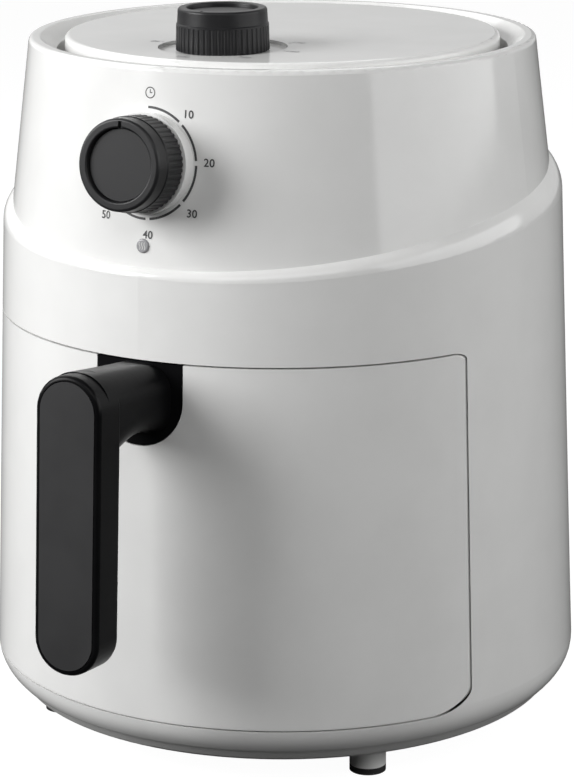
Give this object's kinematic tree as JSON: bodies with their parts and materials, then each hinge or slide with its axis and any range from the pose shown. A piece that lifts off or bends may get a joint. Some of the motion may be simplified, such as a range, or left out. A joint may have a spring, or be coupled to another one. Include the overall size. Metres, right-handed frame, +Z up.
{
  "type": "air fryer",
  "caption": "Round countertop air fryer with a sloping ledge, a front drawer on a vertical handle, and turning timer and temperature dials.",
  "frame": {"origin": "centre of the whole part's footprint box, on the surface that it stands on", "axes": "+Z up, -Y towards the drawer handle, +X to the right of someone who stands before it and looks along +Y"},
  "size_m": [0.2726, 0.3327, 0.3345],
  "materials": {
    "white_shell": "glossy white moulded plastic",
    "white_base": "satin white moulded plastic",
    "grey_plastic": "satin light grey moulded plastic",
    "rubber_pad": "matt black rubber",
    "screw_steel": "zinc plated",
    "bay_sheet": "plain aluminised sheet",
    "chamber_sheet": "plain sheet steel",
    "heater_tube": "heat tinted steel",
    "ceramic": "off-white ceramic",
    "control_case": "dark moulded case",
    "bell_metal": "plain",
    "motor_case": "die cast",
    "fan_sheet": "plain sheet",
    "lens": "clear frosted lens",
    "black_knob": "satin black moulded plastic",
    "knob_face": "brushed dark face",
    "black_handle": "satin black moulded plastic",
    "handle_face": "fine satin dark grey",
    "black_frame": "matt black moulded plastic",
    "pan_coating": "dark non-stick coating",
    "silicone": "soft black silicone"
  },
  "bodies": {
    "housing": {"outer_housing": "white_shell", "base_plate": "white_base", "foot_stems": "white_base", "foot_pads": "rubber_pad", "base_screws": "screw_steel", "drawer_bay": "bay_sheet", "heating_chamber": "chamber_sheet", "heater_element": "heater_tube", "heater_bushes": "ceramic", "thermal_fuse": "control_case", "motor_bracket": "chamber_sheet", "bracket_screws": "screw_steel", "fan_motor": "motor_case", "top_cover": "white_shell", "thermostat": "control_case", "timer_unit": "control_case", "timer_bell": "bell_metal", "indicator_lens": "lens", "indicator_lamp": "lens", "rear_grille": "grey_plastic", "cord_gland": "grey_plastic", "terminal_block": "ceramic", "drawer_switch": "control_case"},
    "drawer": {"drawer_front": "white_shell", "drawer_frame": "black_frame", "pan": "pan_coating", "pan_screws": "screw_steel", "handle_body": "black_handle", "handle_cover": "handle_face", "handle_screws": "screw_steel"},
    "crisper": {"crisper_plate": "pan_coating", "crisper_bumpers": "silicone"},
    "timer_dial": {"timer_knob": "black_knob", "timer_knob_insert": "knob_face", "timer_shaft": "heater_tube"},
    "temperature_dial": {"temperature_knob": "black_knob", "temperature_knob_insert": "knob_face", "thermostat_shaft": "heater_tube"},
    "fan": {"convection_fan": "fan_sheet", "cooling_fan": "fan_sheet", "motor_shaft": "heater_tube", "fan_nut": "screw_steel"}
  },
  "joints": [
    {"name": "drawer_slide", "type": "slide", "parent": "housing", "child": "drawer", "axis": [0, -1, 0], "range_m": [0, 0.26]},
    {"name": "crisper_lift", "type": "slide", "parent": "drawer", "child": "crisper", "axis": [0, 0, -1], "range_m": [-0.13, 0]},
    {"name": "timer_turn", "type": "hinge", "parent": "housing", "child": "timer_dial", "pos_m": [0, -0.09308, 0.2762], "axis": [0, 0.9923, -0.1237], "range_deg": [0, 270]},
    {"name": "temperature_turn", "type": "hinge", "parent": "housing", "child": "temperature_dial", "pos_m": [0, -0.02775, 0.316], "axis": [0, 0, -1], "range_deg": [0, 270]},
    {"name": "fan_turn", "type": "hinge", "parent": "housing", "child": "fan", "pos_m": [0, 0.02655, 0.25], "axis": [0, 0, 1], "continuous": true}
  ]
}
